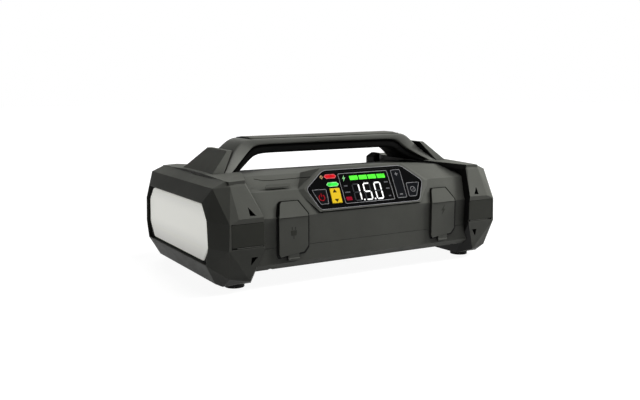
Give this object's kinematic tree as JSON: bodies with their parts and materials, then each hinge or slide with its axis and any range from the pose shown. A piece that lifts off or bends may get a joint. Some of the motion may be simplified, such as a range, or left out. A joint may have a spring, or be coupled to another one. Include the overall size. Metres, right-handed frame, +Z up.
{
  "type": "jump starter pack",
  "caption": "Portable jump starter with carrying handle, work light in one end, sloping control panel with display and keys, port covers and a built-in tyre inflator.",
  "frame": {"origin": "under the middle of the pack, on the surface that its feet stand on", "axes": "+X along the length, with the work light at -X; the control panel and port covers face -Y; +Z up"},
  "size_m": [0.319, 0.198, 0.127],
  "materials": {
    "shell": "fine grained dark grey moulded plastic",
    "handle": "fine grained grey moulded plastic",
    "cap": "soft-touch dark grey moulded plastic",
    "soft_black": "matt black rubber",
    "port_rubber": "dark grey moulded rubber",
    "gloss_black": "polished black",
    "dark_key": "satin black key",
    "yellow_key": "satin yellow key",
    "lens": "frosted diffuser",
    "white_plastic": "satin white",
    "board": "circuit board",
    "steel": "plain steel",
    "aluminium": "die-cast",
    "cell_wrap": "shrink film",
    "nylon": "natural nylon",
    "socket_blue": "moulded blue"
  },
  "bodies": {
    "housing": {"upper_shell": "shell", "lower_shell": "shell", "handle_frame": "handle", "handle_liner": "soft_black", "handle_grip_plate": "handle", "right_end_cap": "cap", "left_end_cap": "cap", "light_lens": "lens", "light_tray": "white_plastic", "led_board": "white_plastic", "output_panel": "shell", "jumper_socket": "socket_blue", "foot_left_front": "soft_black", "foot_left_rear": "soft_black", "foot_right_front": "soft_black", "foot_right_rear": "soft_black", "case_screw_left_front": "steel", "case_screw_left_rear": "steel", "case_screw_right_front": "steel", "case_screw_right_rear": "steel", "cap_screw_left_front": "steel", "cap_screw_left_rear": "steel", "cap_screw_right_front": "steel", "cap_screw_right_rear": "steel", "panel_overlay": "gloss_black", "display_module": "gloss_black", "control_board": "board", "usb_port_block": "gloss_black", "dc_port_block": "gloss_black", "battery_tray": "nylon", "battery_cell_1": "cell_wrap", "battery_cell_2": "cell_wrap", "battery_cell_3": "cell_wrap", "battery_cell_4": "cell_wrap", "power_board": "board", "inflator_motor": "steel", "inflator_frame": "aluminium", "inflator_cylinder": "aluminium", "cylinder_head": "aluminium", "air_outlet": "steel", "hose_clip": "soft_black"},
    "power_key": {"power_key": "dark_key"},
    "unit_key": {"unit_key": "yellow_key"},
    "level_rocker": {"level_rocker": "dark_key"},
    "pump_key": {"pump_key": "dark_key"},
    "left_port_cover": {"left_port_cover": "port_rubber"},
    "right_port_cover": {"right_port_cover": "port_rubber"},
    "jumper_flap": {"jumper_socket_flap": "port_rubber"},
    "crank": {"crank_gear": "nylon"},
    "pinion": {"motor_pinion": "steel"},
    "piston": {"piston_and_rod": "aluminium"}
  },
  "joints": [
    {"name": "power_key_press", "type": "slide", "parent": "housing", "child": "power_key", "axis": [0, 0.866, -0.5], "range_m": [0, 0.0008], "stiffness_N_per_m": 400},
    {"name": "unit_key_press", "type": "slide", "parent": "housing", "child": "unit_key", "axis": [0, 0.866, -0.5], "range_m": [0, 0.0008], "stiffness_N_per_m": 400},
    {"name": "pump_key_press", "type": "slide", "parent": "housing", "child": "pump_key", "axis": [0, 0.866, -0.5], "range_m": [0, 0.0008], "stiffness_N_per_m": 400},
    {"name": "level_rocker_tilt", "type": "hinge", "parent": "housing", "child": "level_rocker", "pos_m": [0.0392, -0.07908, 0.08052], "axis": [1, 0, 0], "range_deg": [-3, 3], "stiffness_Nm_per_rad": 0.05},
    {"name": "left_cover_swing", "type": "hinge", "parent": "housing", "child": "left_port_cover", "pos_m": [-0.0839, -0.0931, 0.0243], "axis": [1, 0, 0], "range_deg": [0, 110]},
    {"name": "right_cover_swing", "type": "hinge", "parent": "housing", "child": "right_port_cover", "pos_m": [0.0856, -0.0931, 0.0243], "axis": [1, 0, 0], "range_deg": [0, 110]},
    {"name": "jumper_flap_swing", "type": "hinge", "parent": "housing", "child": "jumper_flap", "pos_m": [0.15705, -0.034, 0.0375], "axis": [0, 1, 0], "range_deg": [0, 110]},
    {"name": "crank_spin", "type": "hinge", "parent": "housing", "child": "crank", "pos_m": [0.07, 0.016, 0.05], "axis": [0, 1, 0], "continuous": true},
    {"name": "pinion_spin", "type": "hinge", "parent": "housing", "child": "pinion", "pos_m": [0.04, 0.003, 0.05], "axis": [0, 1, 0], "continuous": true},
    {"name": "piston_stroke", "type": "slide", "parent": "housing", "child": "piston", "axis": [1, 0, 0], "range_m": [-0.014, 0]}
  ],
  "couplings": [
    {"joint": "pinion_spin", "follows": "crank_spin", "ratio": -4}
  ]
}
